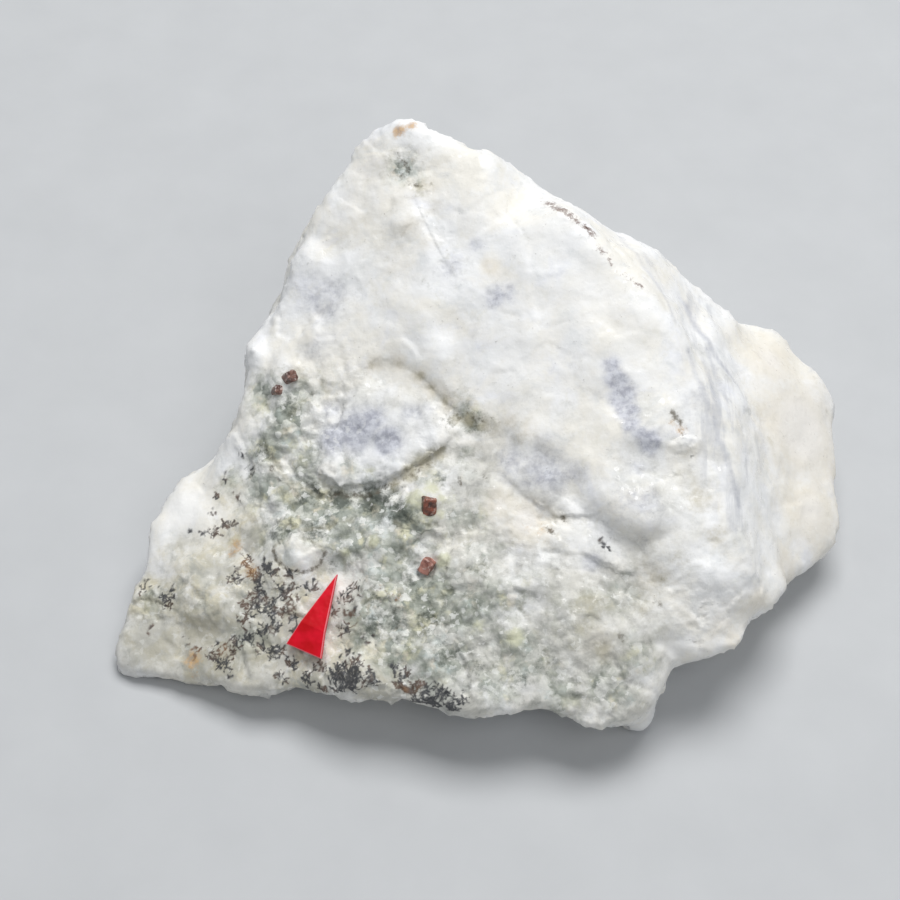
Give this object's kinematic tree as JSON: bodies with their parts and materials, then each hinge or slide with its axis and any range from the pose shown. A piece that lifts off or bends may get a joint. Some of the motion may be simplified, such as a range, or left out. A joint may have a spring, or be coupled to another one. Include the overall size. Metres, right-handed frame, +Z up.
{
  "type": "mineral specimen, tausonite on matrix",
  "caption": "Hand specimen of pale broken rock with small red-brown tausonite crystals in it, resting on a flat base, with a slip of red plastic that points to them.",
  "frame": {"origin": "on the ground under the middle of the stone's box, at its flat base", "axes": "+X along the stone's length, from the low foot to the right lobe; +Y away from the broad front face; +Z up"},
  "size_m": [0.0538, 0.0444, 0.025],
  "materials": {
    "rock": "hackly broken feldspar rock, cream to grey-white with green granular and blue-grey patches and black dendrites",
    "crystal": "glossy dark red-brown crystal faces",
    "marker": "glossy red plastic film"
  },
  "bodies": {
    "root": {"matrix": "rock", "tausonite_centre": "crystal", "tausonite_front": "crystal", "tausonite_left": "crystal", "tausonite_left_small": "crystal", "marker": "marker"}
  },
  "joints": []
}
